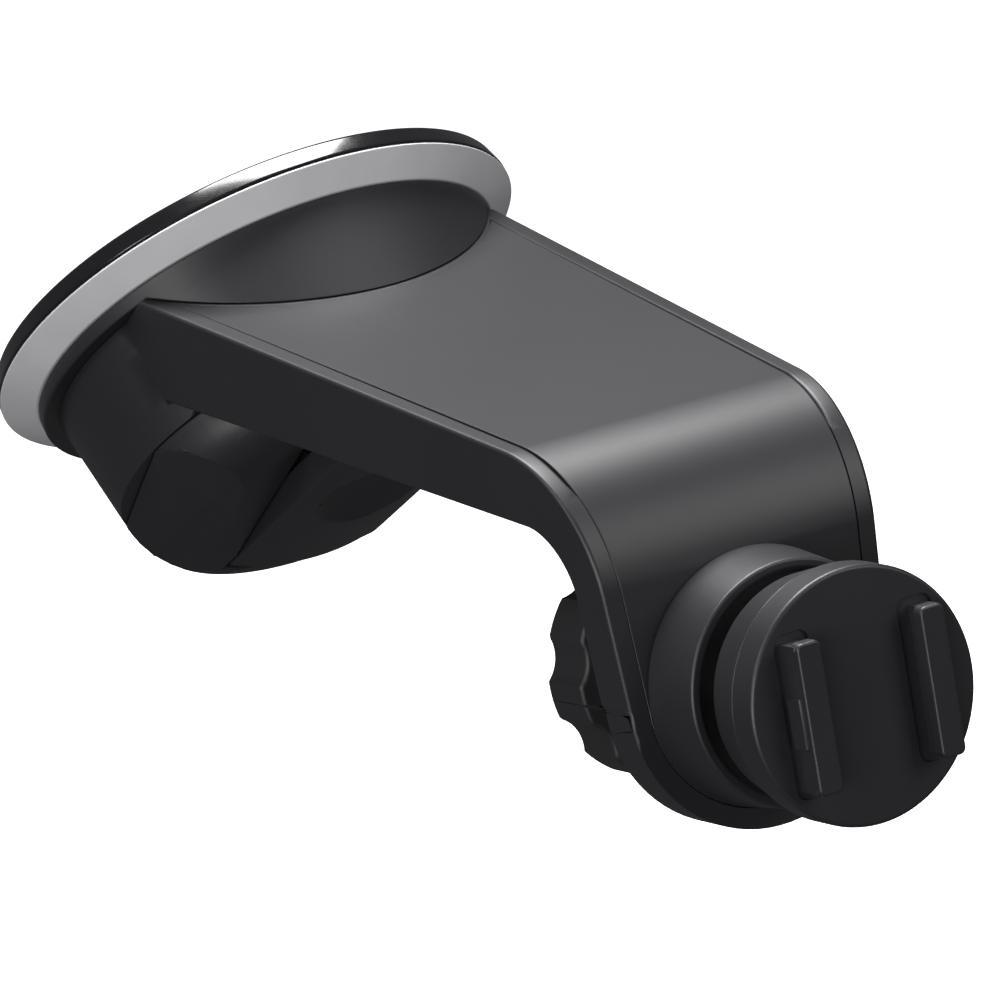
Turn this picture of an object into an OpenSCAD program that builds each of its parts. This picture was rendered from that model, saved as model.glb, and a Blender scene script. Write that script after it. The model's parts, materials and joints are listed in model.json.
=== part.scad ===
// Windscreen bracket for a dash camera: suction cup with a cam lever, bent arm,
// clamped ball joint and a round slide plate.
// Origin: centre of the pad's contact face. +X points along the arm to the camera, +Z is up.

/* [Suction cup] */
// Tilt of the glass face from horizontal, in degrees
glass_tilt = 34.2; // [28:0.2:40]
// Radius of the pad where it meets the glass
pad_r = 32.4; // [30.8:0.2:36]
// How much wider the pad's back edge is than its face
pad_flare = 0.8; // [0:0.1:1.5]
// Thickness of the pad's edge
pad_t = 2.6; // [2:0.1:3.2]
// Radius of the pad's centre boss
boss_r = 13.5; // [12.5:0.1:15]
// Radius of the housing flange and drum
drum_r = 29.4; // [28.6:0.2:30]
// Depth of the housing flange's front face behind the glass
rim_depth = 5.4; // [4.8:0.1:6]
// Thickness of the housing flange
flange_t = 1.9; // [1.2:0.1:2]
// Wall of the drum above the arm
drum_wall = 2.4; // [1.6:0.1:3]

/* [Base pod] */
// Radius of the pod under the flange
pod_r = 27.4; // [26.8:0.1:28.4]
// Radius of the pod where the base cover joins it
pod_low_r = 25.6; // [25:0.1:26.6]
// Depth of the joint between the pod and the base cover
pod_depth = 20.9; // [20:0.1:22]
// Wall of the pod
pod_wall = 2.6; // [2:0.1:3.2]
// Thickness of the web that carries the spring
web_t = 3.9; // [3:0.1:4.5]
// Depth of the base cover's crown on the cup axis
crown_depth = 32.4; // [31.4:0.1:33.4]
// Slope of the base cover's crown along the cup, in degrees
crown_slope = 8.8; // [6:0.2:10]
// Radius of the crown across the cup
crown_r = 30.4; // [28:0.2:40]
// Radius of the base cover's corner
corner_r = 7.8; // [7:0.2:11]
// Thickness of the base cover
cover_wall = 2; // [1.6:0.1:2.4]

/* [Lever] */
// Depth of the lever pin on the cup axis
pin_depth = 23.5; // [23:0.1:24]
// Radius of the lever pin
pin_r = 1.5; // [1.2:0.1:1.8]
// Radius of the cam
cam_r = 5.2; // [4.8:0.1:5.4]
// How far the stem moves when the lever is opened
stem_travel = 1.8; // [1.2:0.1:2]
// Angle through which the lever opens, in degrees
lever_swing = 45; // [38:1:46]
// Half width of the lever
lever_half_w = 10.6; // [10:0.2:12]
// Length of the lever in front of the cup axis
lever_front = 23.5; // [20:0.5:26]
// Length of the lever behind the cup axis
lever_back = 15.5; // [13:0.5:16]
// Thickness of the lever's skin
lever_skin = 2.2; // [1.8:0.1:2.6]
// Height of the lever's side skirts, skin included
lever_skirt = 3.4; // [2.8:0.2:3.8]
// Radius of the finger dish at the surface
dish_r = 9.2; // [7:0.2:9.6]
// Depth of the finger dish
dish_depth = 2.2; // [1:0.1:2.6]
// Place of the finger dish in front of the cup axis
dish_x = 5.6; // [4:0.2:9]
// Radius of the pull rod
rod_r = 4.2; // [3.6:0.1:4.4]

/* [Arm] */
// Height of the arm's top face above the origin
arm_top = 7.6; // [7:0.1:8]
// Slope of the arm's top face, in degrees
arm_slope = 10.4; // [8:0.2:12]
// Distance from the origin to the outer face of the leg
leg_x = 102.8; // [92:0.2:124]
// Outer radius of the bend
bend_r = 16.1; // [14:0.1:18]
// Inner radius of the bend
bend_in_r = 8; // [6:0.5:9]
// Thickness of the arm at the bend
arm_t = 8.3; // [7.6:0.1:9.5]
// Slope of the arm's underside, in degrees
under_slope = 7.6; // [6:0.2:9]
// Thickness of the leg
leg_t = 5.4; // [4.6:0.1:6.4]
// Half width of the arm at the origin
side_w = 24.8; // [24:0.1:25.6]
// Loss of half width per millimetre along the arm
side_taper = 0.0657; // [0.05:0.001:0.07]
// Width of the arm's edge beside its cover
edge_w = 2.3; // [1.8:0.1:3]
// Thickness of the arm's cover
cover_t = 2.2; // [1.6:0.1:2.4]
// Floor left under the arm's hollow
floor_t = 2.2; // [1.6:0.1:2.6]

/* [Ball joint] */
// Height of the ball joint's axis
axis_z = -37.4; // [-44:0.2:-36]
// Radius of the ball
ball_r = 7.2; // [6.8:0.1:7.4]
// Depth of the ball's centre behind the socket ring's lip
ball_back = 7.2; // [6.8:0.1:8]
// Radius of the socket ring at its foot
ring_r = 14.3; // [13.6:0.1:14.4]
// Radius of the socket ring at its lip
lip_r = 13.5; // [13:0.1:14]
// Length of the socket ring
ring_len = 7.9; // [7:0.1:9]
// Radius of the mouth inside the lip
mouth_r = 12.2; // [11.6:0.1:12.4]
// Thickness of the friction liners
liner_t = 0.6; // [0.4:0.1:0.8]

/* [Slide plate] */
// Radius of the slide plate
plate_r = 14; // [13.4:0.1:15]
// Thickness of the slide plate
plate_t = 4.2; // [3.6:0.1:5]
// Distance from the leg's outer face to the plate's face
plate_reach = 20.6; // [20.4:0.1:24]
// Radius of the back shell at its rear edge
back_r = 12.4; // [11.4:0.1:12.6]
// Length of the back shell
back_len = 5.8; // [5.4:0.1:6]
// Distance between the outer walls of the two rails
rail_span = 18.6; // [17:0.2:19]
// Width of a rail's lip
rail_w = 3; // [2.6:0.1:3.4]
// Overhang of a rail's lip
rail_over = 0.95; // [0.6:0.05:1.2]
// Height of a rail
rail_h = 3.5; // [3:0.1:4.2]
// Thickness of a rail's lip
rail_lip_t = 1.5; // [1.2:0.1:1.8]
// Length of a rail
rail_len = 16.6; // [14:0.2:17]
// Depth of the shallow pocket in the plate round each rail
pocket_depth = 0.35; // [0.2:0.05:0.6]

/* [Clamp knob] */
// Radius of the knob over its lobes
knob_r = 13.5; // [12:0.1:15]
// Length of the knob
knob_len = 7.2; // [6.4:0.1:9]
// Number of lobes
knob_lobes = 9; // [6:1:12]
// Depth of the scallops between the lobes
scallop = 1; // [0.8:0.1:1.4]
// Length of the boss behind the leg
boss_len = 9.2; // [8.4:0.1:11]
// Outer radius of that boss
leg_boss_r = 10.4; // [10.2:0.1:10.8]
// Radius of the clamp screw
screw_r = 3; // [2.6:0.1:3.2]

/* [Fits] */
// Clearance round pieces that slide or turn on each other
running = 0.05; // [0.02:0.01:0.1]
// Gap between moulded pieces that are fixed together
seam = 0.1; // [0.05:0.01:0.15]
// Gap between pieces that move past each other
gap = 0.3; // [0.2:0.05:0.4]

/* [Hidden] */
$fn = 96;

reach = 220;                                // larger than the whole object
lap = 0.01;                                 // step where a flat face runs into a round one
black = "#26262a";
dark = "#333338";
grey = "#b9b9bb";
steel = "#b4b6b8";
brass = "#c0a060";

// ---- cup stack: depths are measured behind the contact face ----
flange_back = rim_depth + flange_t;
pod_top = flange_back + seam;
web_back = pod_top + web_t;
boss_depth = pod_top + 1.4;                 // back face of the pad's boss
spring_r = 6.2;                             // mean radius of the spring
spring_wire = 0.55;                         // radius of its wire
spring_turns = 3.5;
pocket_r = spring_r + spring_wire + 0.6;    // pocket round the spring
pedestal_r = pocket_r + 2.2;
cam_off = stem_travel / (2 * sin(lever_swing / 2));
cam_angle = 90 - lever_swing / 2;           // of the cam's centre, from the cup axis
cam_face = pin_depth - cam_r - cam_off * cos(cam_angle) - seam;
cam_plate_t = 1;
seat_back = cam_face - cam_plate_t;         // end of the pedestal
spring_back = seat_back - 2.2;              // floor of the spring's pocket
core_r = 10;
core_t = 2;
skin_t = 1.2;                               // pad material in front of the core
core_front = skin_t + stem_travel + gap;
core_back = core_front + core_t;
rod_end = pin_depth + 2.8;
hub_in = rod_r + 0.9;                       // inner and outer faces of the lever's cheeks
hub_out = lever_half_w - 1.6;
slot_room = 1.1;                            // gap behind the lever's rear edge, which swings up
skirt_t = 1.6;                              // wall of the lever's skirts
screw_circle = 18;                          // circle of the housing's screws

// ---- arm outline ----
bend_x = leg_x - bend_r;
bend_z = arm_top - bend_x * tan(arm_slope) - bend_r / cos(arm_slope);
in_x = leg_x - leg_t - bend_in_r;
in_z = arm_top - in_x * tan(arm_slope) - arm_t / cos(arm_slope) - bend_in_r / cos(under_slope);
side_b = -side_taper * (1 - sin(arm_slope)) / cos(arm_slope);
side_n = norm([side_b, 1, side_taper]);
side_rx = asin(-side_taper / side_n);
side_rz = asin(side_b / (side_n * cos(side_rx)));
end_r = side_w + side_b * leg_x + side_taper * axis_z;

// ---- ball joint, along X from the leg's outer face ----
lip_x = leg_x + ring_len;
ball_x = lip_x - ball_back;
seat_r = ball_r + liner_t + 2 * running;
liner_r = ball_r + running + liner_t;
plate_x = leg_x + plate_reach;
plate_back_x = plate_x - plate_t;
shell_x = plate_back_x - seam - back_len;
leg_back = leg_x - leg_t;
boss_x = leg_back - boss_len;
cup_r = seat_r + 0.8;
cup_face = ball_x - 1;
cup_back = ball_x - seat_r - 2.2;
insert_r = screw_r + 1.5;
knob_front = boss_x - 0.8;
knob_back = knob_front - knob_len;
neck_r = 4.5;
stud_flange_r = 8.4;
stud_flange_t = 2;
ring_circle = 11.6;                         // circle of the socket ring's screws
plate_circle = 10.4;                        // circle of the plate's screws
small_screw_r = 1;
rail_catch = 0.6;                            // how far the catch stands out of its rail
pocket_room = rail_catch + 0.1;              // room in the pocket round the rail's lip
screw_head_r = 1.8;
screw_bite = 2;                             // length of a plate screw in the slide plate
ring_bite = 3;                              // length of a ring screw in the socket ring
cup_room = 1.4;                             // free space behind the pressure cup

module cup_frame() rotate([0, -glass_tilt, 0]) children();
module drop(d0, d1, r0, r1) translate([0, 0, -d1]) cylinder(h = d1 - d0, r1 = r1, r2 = r0);
module axial(x0, x1, r0, r1) translate([x0, 0, axis_z]) rotate([0, 90, 0]) cylinder(h = x1 - x0, r1 = r0, r2 = r1);
module about_x() translate([0, 0, axis_z]) rotate([0, 90, 0]) rotate_extrude() children();
module side_extrude() rotate([90, 0, 0]) linear_extrude(height = reach, center = true) children();
module ring_of(count, radius, start = 0)
    for (i = [0 : count - 1]) rotate([0, 0, start + i * 360 / count]) translate([radius, 0, 0]) children();

// The space between the arm's two tapering sides
module half_side(inset)
    translate([0, side_w - inset, 0]) rotate([side_rx, 0, side_rz])
        translate([-reach, -reach, -reach]) cube([2 * reach, reach, 2 * reach]);
module between_sides(inset = 0)
    intersection() {
        half_side(inset);
        mirror([0, 1, 0]) half_side(inset);
    }

// Side view of everything under the arm's top and outer face, in X and Z
module under_top(inset = 0)
    difference() {
        polygon([[-60, arm_top + 60 * tan(arm_slope) - inset / cos(arm_slope)],
            [leg_x - inset, arm_top - (leg_x - inset) * tan(arm_slope) - inset / cos(arm_slope)],
            [leg_x - inset, -80], [-60, -80]]);
        // round off the outer corner
        difference() {
            polygon([[bend_x, bend_z],
                [bend_x + bend_r * sin(arm_slope), bend_z + bend_r * cos(arm_slope)],
                [bend_x + bend_r * sin(arm_slope), bend_z + 2 * bend_r],
                [bend_x + 2 * bend_r, bend_z + 2 * bend_r], [bend_x + 2 * bend_r, bend_z]]);
            translate([bend_x, bend_z]) circle(r = bend_r - inset + lap);
        }
    }

// Side view of the open space under the arm and behind the leg
module under_arm(grow = 0)
    union() {
        polygon([[-60, in_z + (bend_in_r + grow - lap) / cos(under_slope) + (in_x + 60) * tan(under_slope)],
            [in_x + (bend_in_r + grow - lap) * sin(under_slope),
                in_z + (bend_in_r + grow - lap) * cos(under_slope)],
            [in_x, in_z], [in_x, -100], [-60, -100]]);
        translate([in_x, in_z]) circle(r = bend_in_r + grow);
        translate([in_x - 1, -100]) square([bend_in_r + grow - lap + 1, in_z + 100]);
    }

// Everything above the round end of the leg, or inside it
module within_end(inset = 0)
    union() {
        translate([-reach, -reach, axis_z]) cube([2 * reach, 2 * reach, reach]);
        axial(-reach, reach, end_r - inset, end_r - inset);
    }

module below(depth) cup_frame() translate([-reach, -reach, -depth - reach]) cube([2 * reach, 2 * reach, reach]);

module arm_blank()
    union() {
        intersection() {
            between_sides();
            side_extrude() difference() {
                under_top();
                under_arm();
            }
            within_end();
            below(pod_top);
        }
        intersection() {
            side_extrude() under_top();
            cup_frame() drop(pod_top, pod_depth, pod_r, pod_low_r);
        }
    }

module cover_space(clearance)
    difference() {
        intersection() {
            between_sides(edge_w + clearance);
            within_end(edge_w + clearance);
            side_extrude() difference() {
                under_top();
                under_top(cover_t - clearance);
            }
            translate([0, -reach, -reach]) cube([reach, 2 * reach, 2 * reach]);
        }
        cup_frame() drop(-reach, reach, drum_r + seam + clearance, drum_r + seam + clearance);
    }

module arm_hollow()
    intersection() {
        between_sides(edge_w + 1.2);
        side_extrude() difference() {
            under_top(cover_t - 0.1);
            under_arm(floor_t);
        }
        translate([drum_r * cos(glass_tilt) + 18, -reach, -reach]) cube([bend_x - drum_r * cos(glass_tilt) - 18, 2 * reach, 2 * reach]);
    }

module arm_body() color(black)
    difference() {
        union() {
            arm_blank();
            cup_frame() drop(web_back - 1, seat_back, pedestal_r, pedestal_r);
            axial(boss_x, leg_back + 1, leg_boss_r, leg_boss_r);
        }
        cover_space(0);
        arm_hollow();
        cup_frame() {
            // inside of the pod, round the pedestal
            difference() {
                drop(web_back, pod_depth + 0.1, pod_low_r - pod_wall, pod_low_r - pod_wall);
                drop(web_back - 1, pod_depth + 1, pedestal_r, pedestal_r);
            }
            drop(seat_back, pod_depth + 0.1, pedestal_r + 0.1, pedestal_r + 0.1);
            drop(pod_top - 0.1, boss_depth + seam, boss_r + gap, boss_r + gap);
            drop(pod_top, spring_back, pocket_r, pocket_r);
            drop(pod_top, seat_back + 1, rod_r + running, rod_r + running);
            ring_of(4, screw_circle, 45) drop(pod_top - 0.1, web_back + 0.1, small_screw_r + seam, small_screw_r + seam);
        }
        axial(boss_x - 1, cup_back, insert_r + seam / 2, insert_r + seam / 2);
        axial(cup_back - cup_room, leg_x + 1, cup_r + running, cup_r + running);
        // seat for the spigot of the socket ring
        axial(leg_x - cover_t, leg_x + 1, lip_r + seam, lip_r + seam);
        translate([0, 0, axis_z]) rotate([0, 90, 0]) ring_of(3, ring_circle, 30) {
            translate([0, 0, leg_back - 1]) cylinder(h = leg_t + 2, r = small_screw_r + seam);
            // channel beside the boss for the screw's head
            translate([0, 0, boss_x - 1]) cylinder(h = boss_len + 1, r = screw_head_r + gap);
        }
    }

module arm_cover() color(black)
    difference() {
        cover_space(seam);
        axial(leg_x - cover_t - 1, leg_x + 1, lip_r + seam, lip_r + seam);
    }

module suction_pad() color("#1c1c1e")
    cup_frame() difference() {
        union() {
            drop(0, pad_t, pad_r, pad_r + pad_flare);
            drop(pad_t - 0.5, boss_depth, boss_r, boss_r);
        }
        drop(skin_t, core_back + 0.1, core_r + gap, core_r + gap);
        drop(core_back, boss_depth + 1, rod_r + gap, rod_r + gap);
    }

module pad_backing_ring() color(grey)
    cup_frame() rotate_extrude()
        polygon([[pad_r + 0.6, -pad_t - 0.02], [drum_r + 0.1, -rim_depth + 0.02], [drum_r - 3, -rim_depth + 0.02],
            [drum_r - 3, -rim_depth + 1], [pad_r - 2, -pad_t - 0.02]]);

module pad_core() color(dark)
    cup_frame() difference() {
        drop(core_front, core_back, core_r, core_r);
        drop(core_front + 0.6, core_back + 1, 2.4 + running, 2.4 + running);
    }

module pull_rod() color(steel)
    cup_frame() difference() {
        union() {
            drop(core_front + 0.7, core_back, 2.4, 2.4);
            drop(core_back, rod_end, rod_r, rod_r);
        }
        translate([0, 0, -pin_depth]) rotate([90, 0, 0])
            cylinder(h = 4 * rod_r, r = pin_r + running, center = true);
    }

// The spring's wire is swept round its coil, ring by ring
module return_spring() {
    top = boss_depth + spring_wire + seam;
    low = spring_back - spring_wire - seam;
    per_turn = 18;
    sides = 8;
    rings = round(spring_turns * per_turn);
    points = [for (i = [0 : rings]) for (j = [0 : sides - 1])
        let (a = i * 360 / per_turn, b = j * 360 / sides, r = spring_r + spring_wire * cos(b))
            [r * cos(a), r * sin(a), -low + (low - top) * i / rings + spring_wire * sin(b)]];
    walls = [for (i = [0 : rings - 1]) for (j = [0 : sides - 1])
        let (k = (j + 1) % sides) for (f = [0, 1])
            f == 0 ? [i * sides + j, (i + 1) * sides + j, (i + 1) * sides + k]
                : [i * sides + j, (i + 1) * sides + k, i * sides + k]];
    ends = [[for (j = [0 : sides - 1]) j], [for (j = [sides - 1 : -1 : 0]) rings * sides + j]];
    color(steel) cup_frame() polyhedron(points = points, faces = concat(walls, ends));
}

module cup_housing() color(black)
    difference() {
        union() {
            cup_frame() difference() {
                drop(rim_depth, flange_back, drum_r, drum_r);
                drop(rim_depth - 1, flange_back + 1, boss_r + gap, boss_r + gap);
            }
            intersection() {
                cup_frame() difference() {
                    drop(rim_depth + 0.5, pod_depth, drum_r, drum_r);
                    drop(rim_depth, pod_depth + 1, drum_r - drum_wall, drum_r - drum_wall);
                }
                difference() {
                    translate([0, -reach, -reach]) cube([reach, 2 * reach, 2 * reach]);
                    translate([0, 0, seam]) side_extrude() under_top();
                }
            }
        }
        cup_frame() ring_of(4, screw_circle, 45)
            drop(rim_depth - 1, flange_back + 1, small_screw_r + seam, small_screw_r + seam);
    }

module housing_screws() color(steel)
    cup_frame() ring_of(4, screw_circle, 45) difference() {
        union() {
            drop(rim_depth - 1.2, rim_depth, 2, 2);
            drop(rim_depth - 0.1, web_back - 0.5, small_screw_r, small_screw_r);
        }
        translate([0, 0, -rim_depth + 0.6]) cylinder(h = 1, r = 0.9, $fn = 6);
    }

// Crowned solid whose skin is the base cover's and the lever's outer face
module crown(inset)
    rotate([0, crown_slope, 0]) translate([0, 0, crown_r - crown_depth]) rotate([0, 90, 0])
        cylinder(h = reach, r = crown_r - inset, center = true, $fn = 180);

module pod_dome(inset)
    rotate_extrude() {
        translate([0, -pod_depth - corner_r + inset]) square([pod_low_r - corner_r, corner_r - inset]);
        intersection() {
            translate([pod_low_r - corner_r, -pod_depth]) circle(r = corner_r - inset);
            translate([0, -pod_depth - 2 * corner_r]) square([pod_low_r, 2 * corner_r]);
        }
    }

module base_cover() color(black)
    difference() {
        cup_frame() difference() {
            intersection() {
                translate([0, 0, -seam]) pod_dome(0);
                crown(0);
            }
            intersection() {
                translate([0, 0, seam]) pod_dome(cover_wall);
                crown(cover_wall);
            }
            // slot for the lever, open to the front
            translate([-lever_back - slot_room, -lever_half_w - gap, -reach])
                cube([reach, 2 * (lever_half_w + gap), reach - pod_depth + 2]);
        }
        translate([0, 0, -seam]) side_extrude() difference() {
            under_top();
            under_arm();
        }
    }

module cam_plate() color(steel)
    cup_frame() difference() {
        drop(seat_back, cam_face, pedestal_r - 0.5, pedestal_r - 0.5);
        drop(seat_back - 1, cam_face + 1, rod_r + gap, rod_r + gap);
    }

// Lever outline from below, with a rounded free end
module lever_plan(inset = 0)
    union() {
        translate([-lever_back + inset, -lever_half_w + inset])
            square([lever_back + lever_front - 5 - inset, 2 * (lever_half_w - inset)]);
        translate([lever_front - 5 - 1, -lever_half_w + 5])
            square([6 - inset, 2 * (lever_half_w - 5)]);
        for (s = [-1, 1]) translate([lever_front - 5, s * (lever_half_w - 5)]) circle(r = 5 - inset);
    }

module suction_lever() color(black) {
    dish_sphere = (pow(dish_r, 2) + pow(dish_depth, 2)) / (2 * dish_depth);
    dish_z = -crown_depth - dish_x * tan(crown_slope) - dish_sphere + dish_depth;
    cup_frame() difference() {
        union() {
            // skin and skirts
            difference() {
                intersection() {
                    translate([0, 0, -reach]) linear_extrude(height = reach) lever_plan();
                    difference() {
                        crown(0);
                        crown(lever_skirt);
                    }
                }
                intersection() {
                    translate([0, 0, -reach]) linear_extrude(height = reach) {
                        lever_plan(skirt_t);
                        translate([-lever_back - 1, skirt_t - lever_half_w])
                            square([lever_back, 2 * (lever_half_w - skirt_t)]);
                    }
                    crown(lever_skin);
                }
            }
            // back of the finger dish
            intersection() {
                translate([dish_x, 0, dish_z]) sphere(r = dish_sphere + 1.6);
                crown(lever_skin / 2);
                translate([-reach, -lever_half_w + 1, -reach]) cube([2 * reach, 2 * lever_half_w - 2, 2 * reach]);
            }
            // cheeks with the cams
            for (s = [-1, 1]) intersection() {
                crown(lever_skin / 2);
                translate([0, s * (hub_in + hub_out) / 2, -pin_depth]) rotate([90, 0, 0])
                    linear_extrude(height = hub_out - hub_in, center = true) {
                        translate([cam_off * sin(cam_angle), cam_off * cos(cam_angle)]) circle(r = cam_r);
                        polygon([[-4.2, 1], [-10, -4.4], [-12.5, -5.5], [-12.5, -12], [14.5, -12], [14.5, -8], [6.4, 0]]);
                    }
            }
        }
        translate([dish_x, 0, dish_z]) sphere(r = dish_sphere);
        translate([0, 0, -pin_depth]) rotate([90, 0, 0]) cylinder(h = reach, r = pin_r + running, center = true);
    }
}

module lever_pin() color(steel)
    cup_frame() translate([0, 0, -pin_depth]) rotate([90, 0, 0])
        cylinder(h = 2 * hub_out, r = pin_r, center = true);

module pin_washers() color(steel)
    cup_frame() for (s = [-1, 1]) translate([0, s * (rod_r + hub_in) / 2, -pin_depth]) rotate([90, 0, 0])
        difference() {
            cylinder(h = hub_in - rod_r - 0.3, r = 3.2, center = true);
            cylinder(h = 4, r = pin_r + running, center = true);
        }

module socket_ring() color(black)
    difference() {
        about_x() difference() {
            union() {
                polygon([[0, leg_x + seam / 2], [ring_r, leg_x + seam / 2], [lip_r, lip_x], [0, lip_x]]);
                translate([0, leg_x - cover_t + 0.05]) square([lip_r, cover_t]);
            }
            // mouth, throat and bore
            polygon([[0, lip_x + 1], [mouth_r + 0.4, lip_x + 1], [mouth_r, lip_x - 0.6], [7.4, ball_x + 3.6], [0, ball_x + 3.6]]);
            square([cup_r + running, ball_x + 0.6]);
        }
        translate([ball_x, 0, axis_z]) sphere(r = seat_r);
        translate([0, 0, axis_z]) rotate([0, 90, 0]) ring_of(3, ring_circle, 30)
            translate([0, 0, leg_x - cover_t - 1]) cylinder(h = cover_t + ring_bite + 1.2, r = small_screw_r + running);
    }

module ring_screws() color(steel)
    translate([0, 0, axis_z]) rotate([0, 90, 0]) ring_of(3, ring_circle, 30) {
        translate([0, 0, leg_back - 1.2]) cylinder(h = 1.2, r = screw_head_r);
        translate([0, 0, leg_back - 0.1]) cylinder(h = leg_t + ring_bite, r = small_screw_r);
    }

// Part of a spherical shell round the ball, between two planes across the axis
module liner_zone(x0, x1)
    intersection() {
        difference() {
            translate([ball_x, 0, axis_z]) sphere(r = liner_r);
            translate([ball_x, 0, axis_z]) sphere(r = ball_r + running);
        }
        axial(ball_x + x0, ball_x + x1, 2 * ball_r, 2 * ball_r);
    }

module front_liner() color(grey) liner_zone(1.4, 3.4);
module rear_liner() color(grey) liner_zone(-4.6, -1.6);

module pressure_cup() color(dark)
    difference() {
        axial(cup_back, cup_face, cup_r, cup_r);
        translate([ball_x, 0, axis_z]) sphere(r = seat_r);
        axial(cup_back - 1, cup_back + 1.6, 2 + running, 2 + running);
    }

module thread_insert() color(brass)
    difference() {
        axial(boss_x + 0.2, cup_back - cup_room - 0.1, insert_r, insert_r);
        axial(boss_x - 1, boss_x + 10, screw_r + running, screw_r + running);
    }

module clamp_screw() color(steel) {
    axial(knob_back + 2.6, cup_back - seam, screw_r, screw_r);
    axial(cup_back - 0.2, cup_back + 1.5, 2, 2);
    axial(knob_back + 1.6, knob_back + 4.4, 5, 5, $fn = 6);
}

module knob_washer() color(steel)
    difference() {
        axial(knob_front + 0.05, knob_front + 0.65, 5.4, 5.4);
        axial(knob_front - 1, knob_front + 1, screw_r + running, screw_r + running);
    }

module knob_body() color(black)
    difference() {
        translate([0, 0, axis_z]) rotate([0, 90, 0]) translate([0, 0, knob_back])
            linear_extrude(height = knob_len) difference() {
                circle(r = knob_r);
                ring_of(knob_lobes, knob_r + 4.2 - scallop, 18) circle(r = 4.2);
            }
        axial(knob_back - 1, knob_back + 4.5, 5.8, 5.8);
        axial(knob_back - 1, knob_back + 1.5, 8.6, 8.6);
        axial(knob_back, knob_front + 1, screw_r + running, screw_r + running);
    }

module knob_cap() color(dark)
    axial(knob_back + 0.2, knob_back + 1.45, 8.5, 8.5);

module ball_stud() color(dark)
    union() {
        translate([ball_x, 0, axis_z]) sphere(r = ball_r);
        axial(ball_x, plate_back_x - 1, neck_r, neck_r);
        axial(plate_back_x - seam - stud_flange_t, plate_back_x - seam, stud_flange_r, stud_flange_r);
    }

module plate_back() color(black)
    difference() {
        axial(shell_x, plate_back_x - seam, back_r, plate_r - 0.2);
        axial(shell_x - 1, plate_back_x, neck_r + seam, neck_r + seam);
        axial(plate_back_x - 2 * seam - stud_flange_t, plate_back_x, stud_flange_r + seam, stud_flange_r + seam);
        translate([0, 0, axis_z]) rotate([0, 90, 0]) ring_of(3, plate_circle, 90) {
            translate([0, 0, shell_x - 1]) cylinder(h = 2.3, r = 1.9);
            translate([0, 0, shell_x]) cylinder(h = back_len + 1, r = small_screw_r + seam);
        }
    }

module plate_screws() color(steel)
    translate([0, 0, axis_z]) rotate([0, 90, 0]) ring_of(3, plate_circle, 90) {
        translate([0, 0, shell_x + 0.1]) cylinder(h = 1.2, r = 1.7);
        translate([0, 0, shell_x + 1]) cylinder(h = back_len + seam + screw_bite - 1, r = small_screw_r);
    }

module rail() {
    outer = rail_span / 2;
    stem_w = rail_w - rail_over;
    corner = 0.8;
    root = pocket_depth + 0.5;
    // stem, rooted below the pocket's floor
    translate([plate_x - root, outer - stem_w, axis_z - rail_len / 2 + 0.3])
        cube([rail_h + root - rail_lip_t / 2, stem_w, rail_len - 0.6]);
    // lip with rounded corners
    translate([plate_x + rail_h - rail_lip_t, 0, axis_z]) rotate([0, 90, 0])
        linear_extrude(height = rail_lip_t) union() {
            translate([-rail_len / 2 + corner, outer - rail_w]) square([rail_len - 2 * corner, rail_w]);
            translate([-rail_len / 2, outer - rail_w + corner]) square([rail_len, rail_w - 2 * corner]);
            for (sx = [-1, 1]) for (sy = [0, 1])
                translate([sx * (rail_len / 2 - corner), outer - rail_w + corner + sy * (rail_w - 2 * corner)])
                    circle(r = corner, $fn = 32);
        }
}

// round-cornered pocket that keeps the plate's face clear of a rail's overhanging lip and catch
module rail_pocket() {
    low = rail_span / 2 - rail_w - pocket_room;
    wide = rail_w + 2 * pocket_room;
    long = rail_len + 2 * pocket_room;
    corner = 1.2;
    translate([plate_x - pocket_depth, 0, axis_z]) rotate([0, 90, 0])
        linear_extrude(height = pocket_depth + 1) union() {
            translate([-long / 2 + corner, low]) square([long - 2 * corner, wide]);
            translate([-long / 2, low + corner]) square([long, wide - 2 * corner]);
            for (sx = [-1, 1]) for (sy = [0, 1])
                translate([sx * (long / 2 - corner), low + corner + sy * (wide - 2 * corner)])
                    circle(r = corner, $fn = 32);
        }
}

module slide_plate() color(black)
    difference() {
        union() {
            difference() {
                axial(plate_back_x, plate_x, plate_r, plate_r);
                rail_pocket();
                mirror([0, 1, 0]) rail_pocket();
            }
            rail();
            mirror([0, 1, 0]) rail();
            // catch on the outside of one rail
            translate([plate_x + 0.8, -rail_span / 2 - rail_catch, axis_z - 3])
                cube([1.9, 2 * rail_catch, 5.4]);
        }
        translate([0, 0, axis_z]) rotate([0, 90, 0]) ring_of(3, plate_circle, 90)
            translate([0, 0, plate_back_x - 1]) cylinder(h = screw_bite + 1.2, r = small_screw_r + running);
    }

suction_pad();
pad_backing_ring();
pad_core();
pull_rod();
return_spring();
cup_housing();
housing_screws();
arm_body();
arm_cover();
base_cover();
cam_plate();
suction_lever();
lever_pin();
pin_washers();
socket_ring();
ring_screws();
front_liner();
rear_liner();
pressure_cup();
thread_insert();
clamp_screw();
knob_washer();
knob_body();
knob_cap();
ball_stud();
plate_back();
plate_screws();
slide_plate();
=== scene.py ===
import json
from math import cos, pi, radians, sin

import bmesh
import bpy
from mathutils import Matrix, Vector


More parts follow.
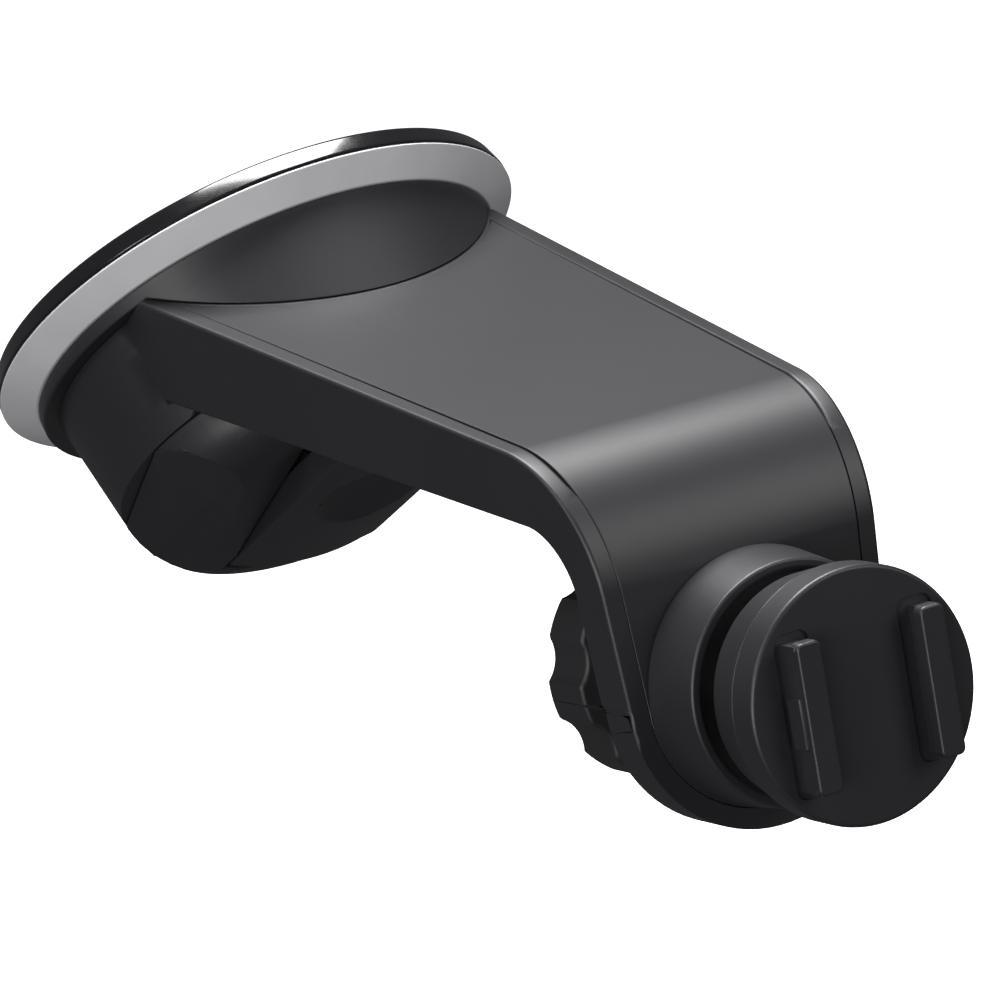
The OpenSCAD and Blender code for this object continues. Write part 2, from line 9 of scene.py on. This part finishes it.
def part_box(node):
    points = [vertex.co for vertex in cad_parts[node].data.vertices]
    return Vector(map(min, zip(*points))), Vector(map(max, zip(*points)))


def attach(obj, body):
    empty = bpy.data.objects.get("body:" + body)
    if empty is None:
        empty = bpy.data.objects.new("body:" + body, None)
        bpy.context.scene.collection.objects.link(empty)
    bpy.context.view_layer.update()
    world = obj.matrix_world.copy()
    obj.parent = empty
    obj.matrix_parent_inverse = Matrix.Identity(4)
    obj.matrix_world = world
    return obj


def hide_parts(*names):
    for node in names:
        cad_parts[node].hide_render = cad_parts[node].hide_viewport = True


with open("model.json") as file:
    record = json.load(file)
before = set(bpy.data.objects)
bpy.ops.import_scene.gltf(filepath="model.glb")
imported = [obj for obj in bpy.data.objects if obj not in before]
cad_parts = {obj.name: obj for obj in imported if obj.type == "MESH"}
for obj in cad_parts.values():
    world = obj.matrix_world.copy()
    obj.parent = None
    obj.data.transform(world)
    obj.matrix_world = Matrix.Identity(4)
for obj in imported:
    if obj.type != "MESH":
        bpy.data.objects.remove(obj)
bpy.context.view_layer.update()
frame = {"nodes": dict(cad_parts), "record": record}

MM = 0.001

# ---------------------------------------------------------------------------
# Studio: a long lens at the catalogue's angle, a pale sweep under the bracket,
# and large soft boxes that put one broad highlight on the arm and the drum.
# ---------------------------------------------------------------------------


def linear(hex_colour):
    """An sRGB hex colour as linear red, green, blue and alpha."""
    parts = [int(hex_colour[i:i + 2], 16) / 255 for i in (1, 3, 5)]
    return [p / 12.92 if p <= 0.04045 else ((p + 0.055) / 1.055) ** 2.4 for p in parts] + [1.0]


def add_node(tree, kind, links=(), inputs=(), **settings):
    """Adds a shader node, with its properties, its socket values and what its sockets are fed by."""
    node = tree.nodes.new(kind)
    for key, value in settings.items():
        setattr(node, key, value)
    for socket, value in dict(inputs).items():
        node.inputs[socket].default_value = value
    for socket, (source, output) in dict(links).items():
        tree.links.new(source.outputs[output], node.inputs[socket])
    return node


def soft_box(name, place, aim, size, watts):
    """A rectangular soft light that points from one place to another."""
    lamp = bpy.data.lights.new(name, "AREA")
    lamp.shape = "RECTANGLE"
    lamp.size, lamp.size_y = size
    lamp.energy = watts
    lamp_object = bpy.data.objects.new(name, lamp)
    bpy.context.scene.collection.objects.link(lamp_object)
    lamp_object.location = place
    lamp_object.rotation_mode = "QUATERNION"
    lamp_object.rotation_quaternion = (Vector(aim) - Vector(place)).to_track_quat("-Z", "Y")


camera = bpy.data.objects.new("camera", bpy.data.cameras.new("camera"))
bpy.context.scene.collection.objects.link(camera)
bpy.context.scene.camera = camera
camera.data.lens = 267.43
camera.data.sensor_width = 36.0
camera.data.clip_end = 20.0
camera.matrix_world = Matrix((
    (0.50210, -0.08637, 0.86048, 0.774130),
    (0.84854, 0.24131, -0.47091, -0.395168),
    (-0.16697, 0.96660, 0.19445, 0.140715),
    (0.0, 0.0, 0.0, 1.0)))

soft_box("top_box", (-0.10, 0.10, 0.75), (0.03, 0.0, 0.0), (0.55, 0.45), 14.0)
soft_box("front_box", (0.75, 0.45, 0.35), (0.08, 0.0, -0.02), (0.35, 0.5), 2.2)
soft_box("side_box", (0.15, -0.9, 0.55), (0.03, 0.0, 0.0), (0.4, 0.3), 2.5)
soft_box("low_fill", (0.65, -0.75, -0.05), (0.02, 0.0, -0.02), (0.7, 0.5), 7.0)

world = bpy.data.worlds.new("pale_room")
world.use_nodes = True
world.node_tree.nodes.clear()
seen = add_node(world.node_tree, "ShaderNodeBackground", inputs={"Color": linear("#ffffff"), "Strength": 1.0})
ambient = add_node(world.node_tree, "ShaderNodeBackground", inputs={"Color": linear("#e8eaee"), "Strength": 0.10})
rays = add_node(world.node_tree, "ShaderNodeLightPath")
chosen = add_node(world.node_tree, "ShaderNodeMixShader",
                  links={0: (rays, "Is Camera Ray"), 1: (ambient, 0), 2: (seen, 0)})
add_node(world.node_tree, "ShaderNodeOutputWorld", links={"Surface": (chosen, 0)})
bpy.context.scene.world = world
bpy.context.scene.view_settings.view_transform = "Standard"

FLOOR_Z = -0.16
floor_paint = bpy.data.materials.new("painted_sweep")
floor_paint.use_nodes = True
floor_paint.node_tree.nodes.clear()
floor_shader = add_node(floor_paint.node_tree, "ShaderNodeBsdfPrincipled", inputs={
    "Base Color": linear("#f4f4f4"), "Roughness": 0.9,
    "Emission Color": linear("#ffffff"), "Emission Strength": 0.9})
add_node(floor_paint.node_tree, "ShaderNodeOutputMaterial", links={"Surface": (floor_shader, 0)})
sweep = bmesh.new()
bmesh.ops.create_grid(sweep, x_segments=1, y_segments=1, size=6.0)
bmesh.ops.translate(sweep, verts=sweep.verts, vec=(0.0, 0.0, FLOOR_Z))
floor_mesh = bpy.data.meshes.new("floor")
sweep.to_mesh(floor_mesh)
sweep.free()
floor_mesh.materials.append(floor_paint)
floor = bpy.data.objects.new("floor", floor_mesh)
bpy.context.scene.collection.objects.link(floor)
floor.visible_diffuse = False
floor.visible_glossy = False

# ---------------------------------------------------------------------------
# Suction pad: one soft disc of glossy black TPU, cast against polished steel,
# with a boss behind it that carries the moulded-in core of the pull stem.
# ---------------------------------------------------------------------------
BODY_OF = {node: body for body, nodes in frame["record"]["behaviour"]["bodies"].items() for node in nodes}
GLASS_TILT = radians(34.2)
CUP_TURN = Matrix.Rotation(-GLASS_TILT, 4, "Y")


def plastic(name, hex_colour, roughness, grain, depth, coat=0.0):
    """Moulded plastic: a slow cloud in the tone, and a fine grain of the given size and depth in mm."""
    finish = bpy.data.materials.new(name)
    finish.use_nodes = True
    tree = finish.node_tree
    tree.nodes.clear()
    place = add_node(tree, "ShaderNodeTexCoord")
    cloud = add_node(tree, "ShaderNodeTexNoise", links={"Vector": (place, "Object")},
                     inputs={"Scale": 1 / (14 * MM), "Detail": 3.0, "Roughness": 0.55})
    speck = add_node(tree, "ShaderNodeTexNoise", links={"Vector": (place, "Object")},
                     inputs={"Scale": 1 / (grain * MM), "Detail": 2.0, "Roughness": 0.6})
    deep = [0.82 * c for c in linear(hex_colour)[:3]] + [1.0]
    light = [1.16 * c for c in linear(hex_colour)[:3]] + [1.0]
    tone = add_node(tree, "ShaderNodeMix", data_type="RGBA", links={"Factor": (cloud, "Fac")},
                    inputs={6: deep, 7: light})
    sheen = add_node(tree, "ShaderNodeMapRange", links={"Value": (speck, "Fac")},
                     inputs={"To Min": roughness - 0.05, "To Max": roughness + 0.07})
    relief = add_node(tree, "ShaderNodeBump", links={"Height": (speck, "Fac")},
                      inputs={"Strength": 0.35, "Distance": depth * MM})
    shader = add_node(tree, "ShaderNodeBsdfPrincipled",
                      links={"Base Color": (tone, 2), "Roughness": (sheen, 0), "Normal": (relief, 0)},
                      inputs={"IOR": 1.52, "Coat Weight": coat, "Coat Roughness": 0.08})
    add_node(tree, "ShaderNodeOutputMaterial", links={"Surface": (shader, 0)})
    return finish


def put_up(shape, name, node, finish, crease=35):
    """Makes a finished piece from a bmesh: it rides on the node's body and stands for the node."""
    mesh = bpy.data.meshes.new(name)
    shape.to_mesh(mesh)
    shape.free()
    mesh.polygons.foreach_set("use_smooth", [True] * len(mesh.polygons))
    mesh.set_sharp_from_angle(angle=radians(crease))
    mesh.materials.append(finish)
    piece = bpy.data.objects.new(name, mesh)
    bpy.context.scene.collection.objects.link(piece)
    # Large flats keep their own normal, so that only the rounded edges catch the light
    evened = piece.modifiers.new("evened", "WEIGHTED_NORMAL")
    evened.mode, evened.weight, evened.keep_sharp = "FACE_AREA", 80, True
    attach(piece, BODY_OF[node])
    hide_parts(node)
    return piece


def round_rims(shape, width, angle=30, segments=3, pick=None):
    """Rounds the sharp edges of a bmesh, all or those that pick accepts."""
    rims = [e for e in shape.edges if len(e.link_faces) == 2 and e.calc_face_angle() > radians(angle)
            and (pick is None or pick((e.verts[0].co + e.verts[1].co) / 2))]
    if rims:
        bmesh.ops.bevel(shape, geom=rims, offset=width * MM, offset_type="OFFSET", affect="EDGES",
                        segments=segments, profile=0.5, material=-1, clamp_overlap=False)


def turned(outline, steps=180):
    """A closed outline of (radius, height) points in mm, turned round Z."""
    shape = bmesh.new()
    ring = [shape.verts.new((r * MM, 0.0, z * MM)) for r, z in outline]
    rim = [shape.edges.new((a, b)) for a, b in zip(ring, ring[1:] + ring[:1])]
    bmesh.ops.spin(shape, geom=ring + rim, cent=(0, 0, 0), axis=(0, 0, 1), dvec=(0, 0, 0),
                   angle=2 * pi, steps=steps, use_merge=True, use_duplicate=False)
    bmesh.ops.remove_doubles(shape, verts=shape.verts, dist=0.001 * MM)
    bmesh.ops.recalc_face_normals(shape, faces=shape.faces)
    return shape


# Polished TPU: near-mirror edge, with a faint ripple from the casting
pad_tpu = plastic("cast_tpu_gloss_black", "#141416", 0.16, 1.6, 0.004, coat=0.5)
PAD_R, PAD_BACK_R, PAD_T = 32.4, 33.2, 2.6
pad = turned([(0, 0), (PAD_R, 0), (PAD_BACK_R, -PAD_T), (13.5, -PAD_T), (13.5, -8.8), (4.5, -8.8),
              (4.5, -5.35), (10.3, -5.4), (10.3, -1.2), (0, -1.2)])
round_rims(pad, 0.45, pick=lambda p: p.xy.length > 30 * MM)
bmesh.ops.transform(pad, matrix=CUP_TURN, verts=pad.verts)
put_up(pad, "suction_disc", "suction_pad", pad_tpu)

# ---------------------------------------------------------------------------
# Backing ring: a pale grey cone of polypropylene, pressed over the back of the
# pad so that its rim shows as an even band round the cup.
# ---------------------------------------------------------------------------
# Matt polypropylene: an even pale grey, the one light band on a black object
ring_pp = plastic("moulded_pp_pale_grey", "#d8d8da", 0.45, 0.5, 0.006)
ring = turned([(PAD_BACK_R - 0.25, -PAD_T - 0.03), (PAD_BACK_R - 0.05, -PAD_T - 0.3), (29.5, -5.35),
               (26.4, -5.35), (26.4, -4.4), (30.4, -PAD_T - 0.03)])
round_rims(ring, 0.12)
bmesh.ops.transform(ring, matrix=CUP_TURN, verts=ring.verts)
put_up(ring, "pale_cone_ring", "pad_backing_ring", ring_pp)

# ---------------------------------------------------------------------------
# Cup housing: the flange behind the ring and the half drum that stands on the
# arm, one moulding in satin black ABS, held to the pod by four screws.
# ---------------------------------------------------------------------------


def eased(node, width, angle=30, segments=3, pick=None):
    """A copy of a CAD node with its seams merged and its sharp edges rounded."""
    shape = bmesh.new()
    shape.from_mesh(frame["nodes"][node].data)
    bmesh.ops.remove_doubles(shape, verts=shape.verts, dist=0.004 * MM)
    bmesh.ops.dissolve_degenerate(shape, edges=shape.edges, dist=0.004 * MM)
    bmesh.ops.dissolve_limit(shape, angle_limit=radians(0.05), use_dissolve_boundaries=False,
                             verts=shape.verts, edges=shape.edges, delimit=set())
    round_rims(shape, width, angle, segments, pick)
    return shape


# Spark-eroded tool: a fine even grain, about 0.2 mm, that breaks up the sheen
case_abs = plastic("abs_spark_eroded_black", "#252528", 0.42, 0.22, 0.010)
put_up(eased("cup_housing", 0.3), "drum_housing", "cup_housing", case_abs)

# ---------------------------------------------------------------------------
# Arm: pod, arm, leg and knob boss in one moulding; its top edges carry a wider
# radius that catches the light, and its walls are plain.
# ---------------------------------------------------------------------------
ARM_HALF, EDGE_BAND, POD_END = 19.28, 3.0, 30.0
# Only the outer edges are rounded; the screw channels inside stay as they are
arm = eased("arm_body", 0.5, pick=lambda at: abs(at.y) > (ARM_HALF - EDGE_BAND) * MM and at.x > POD_END * MM)
put_up(arm, "arm_moulding", "arm_body", case_abs)

# ---------------------------------------------------------------------------
# Arm cover: a thin skin clipped into the arm's recess, so that a hairline joint
# follows both edges, the bend and the round end of the leg.
# ---------------------------------------------------------------------------
put_up(eased("arm_cover", 0.15), "arm_skin", "arm_cover", case_abs)

# ---------------------------------------------------------------------------
# Base cover and lever: the domed cover that closes the pod, and the lever with
# its finger dish that turns on a steel pin, both in the same black ABS.
# ---------------------------------------------------------------------------
put_up(eased("base_cover", 0.3), "base_dome", "base_cover", case_abs)
put_up(eased("suction_lever", 0.3), "flush_lever", "suction_lever", case_abs)

# ---------------------------------------------------------------------------
# Socket ring, back shell and slide plate: round ABS mouldings on the ball
# joint, held by screws; the plate carries two lipped rails in shallow pockets.
# ---------------------------------------------------------------------------
JOINT_Z = -37.4 * MM
PLATE_R, PLATE_FACE = 14.0, 123.4
RAIL_H = 3.5


def off_axis(at):
    """How far a point lies from the ball joint's axis, in mm."""
    return (at.y ** 2 + (at.z - JOINT_Z) ** 2) ** 0.5 / MM


collar = eased("socket_ring", 0.35, angle=20, pick=lambda at: off_axis(at) > 11.9)
put_up(collar, "socket_collar", "socket_ring", case_abs)
shell = eased("plate_back", 0.3, angle=40, pick=lambda at: off_axis(at) > 13.2)
put_up(shell, "plate_shell", "plate_back", case_abs)
# The plate's rim is rounded well, the lips of its rails only a little
plate = eased("slide_plate", 0.5, angle=60, segments=5, pick=lambda at: off_axis(at) > PLATE_R - 0.3)
lip_top = (PLATE_FACE + RAIL_H - 0.05) * MM
round_rims(plate, 0.3, angle=60, segments=3, pick=lambda at: at.x > lip_top and off_axis(at) < 13)
put_up(plate, "rail_plate", "slide_plate", case_abs)

# ---------------------------------------------------------------------------
# Clamp knob: a nine-lobed grip of matt glass-filled nylon over the head of the
# clamp screw. Its back is drawn plain and solid, so the cap lies hidden in it.
# ---------------------------------------------------------------------------


def along_x(x):
    """Lays a shape that was made round Z along X, on the ball joint's axis, from the given place in mm."""
    return Matrix.Translation((x * MM, 0, JOINT_Z)) @ Matrix.Rotation(pi / 2, 4, "Y")


KNOB_R, LOBES, SCALLOP, SCALLOP_R = 13.5, 9, 1.0, 4.2
LOBE_TURN, LOBE_PHASE, RIM_BAND = 2 * pi / LOBES, radians(18), 0.1
# Glass-filled nylon: a duller and coarser black than the case, so that the grip reads as a separate part
grip_nylon = plastic("glass_filled_nylon_black", "#242426", 0.5, 0.3, 0.014)
knob_ends = [point[0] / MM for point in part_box("knob_body")]
knob_len = knob_ends[1] - knob_ends[0]
knob = bmesh.new()
bmesh.ops.create_circle(knob, cap_ends=True, radius=KNOB_R * MM, segments=LOBES * 24)
hollow_at = (KNOB_R + SCALLOP_R - SCALLOP) * MM
for corner in knob.verts:
    turn = (-Vector((1, 0)).angle_signed(corner.co.xy, 0.0) - LOBE_PHASE) % LOBE_TURN
    turn = min(turn, LOBE_TURN - turn)
    reach = (SCALLOP_R * MM) ** 2 - (hollow_at * sin(turn)) ** 2
    radius = hollow_at * cos(turn) - reach ** 0.5 if reach > 0 else KNOB_R * MM
    corner.co.xy = corner.co.xy.normalized() * min(KNOB_R * MM, radius)
lobes = bmesh.ops.extrude_face_region(knob, geom=knob.faces[:])
bmesh.ops.translate(knob, vec=(0, 0, knob_len * MM),
                    verts=[v for v in lobes["geom"] if isinstance(v, bmesh.types.BMVert)])
bmesh.ops.recalc_face_normals(knob, faces=knob.faces)
for low, high in ((-RIM_BAND, RIM_BAND), (knob_len - RIM_BAND, knob_len + RIM_BAND)):
    round_rims(knob, 0.5, angle=60, segments=4, pick=lambda at: low * MM < at.z < high * MM)
bmesh.ops.transform(knob, matrix=along_x(knob_ends[0]), verts=knob.verts)
put_up(knob, "lobed_knob", "knob_body", grip_nylon)
put_up(eased("knob_cap", 0.3), "knob_cover", "knob_cap", grip_nylon)

# ---------------------------------------------------------------------------
# Inner plastics: the ball, its pressure cup and the pad's core are dark acetal;
# the two liners are thin ivory PTFE, trapped between the ball and its seat.
# ---------------------------------------------------------------------------
# Acetal: smooth and slightly waxy, so that the ball gleams inside its dark mouth
acetal = plastic("acetal_dark_grey", "#333336", 0.3, 0.4, 0.004)
# PTFE: a soft off-white with no gloss, seen only as a thin arc
ptfe = plastic("ptfe_liner_ivory", "#cfcabd", 0.45, 0.4, 0.004)
for node, finish in (("ball_stud", acetal), ("pressure_cup", acetal), ("pad_core", acetal),
                     ("front_liner", ptfe), ("rear_liner", ptfe)):
    frame["nodes"][node].data.materials.clear()
    frame["nodes"][node].data.materials.append(finish)

# ---------------------------------------------------------------------------
# Metal pieces: zinc-plated screws, pins, washers, spring and stem, and the
# turned brass insert in the leg's boss.
# ---------------------------------------------------------------------------


def metal(name, hex_colour, roughness, line):
    """Bare or plated metal with fine turning lines of the given spacing in mm."""
    finish = bpy.data.materials.new(name)
    finish.use_nodes = True
    tree = finish.node_tree
    tree.nodes.clear()
    place = add_node(tree, "ShaderNodeTexCoord")
    lines = add_node(tree, "ShaderNodeTexNoise", links={"Vector": (place, "Object")},
                     inputs={"Scale": 1 / (line * MM), "Detail": 3.0})
    sheen = add_node(tree, "ShaderNodeMapRange", links={"Value": (lines, "Fac")},
                     inputs={"To Min": roughness - 0.08, "To Max": roughness + 0.1})
    shader = add_node(tree, "ShaderNodeBsdfPrincipled", links={"Roughness": (sheen, 0)},
                      inputs={"Base Color": linear(hex_colour), "Metallic": 1.0})
    add_node(tree, "ShaderNodeOutputMaterial", links={"Surface": (shader, 0)})
    return finish


# Zinc plate: a cool grey with a broken, slightly rough sheen
zinc = metal("zinc_plated_steel", "#c4c6c9", 0.34, 0.3)
# Turned brass: warm and a little brighter, with closer tool marks
brass = metal("turned_brass", "#c9a05a", 0.3, 0.2)
for node in ("pull_rod", "return_spring", "housing_screws", "cam_plate", "lever_pin", "pin_washers",
             "ring_screws", "clamp_screw", "knob_washer", "plate_screws", "thread_insert"):
    frame["nodes"][node].data.materials.clear()
    frame["nodes"][node].data.materials.append(brass if node == "thread_insert" else zinc)
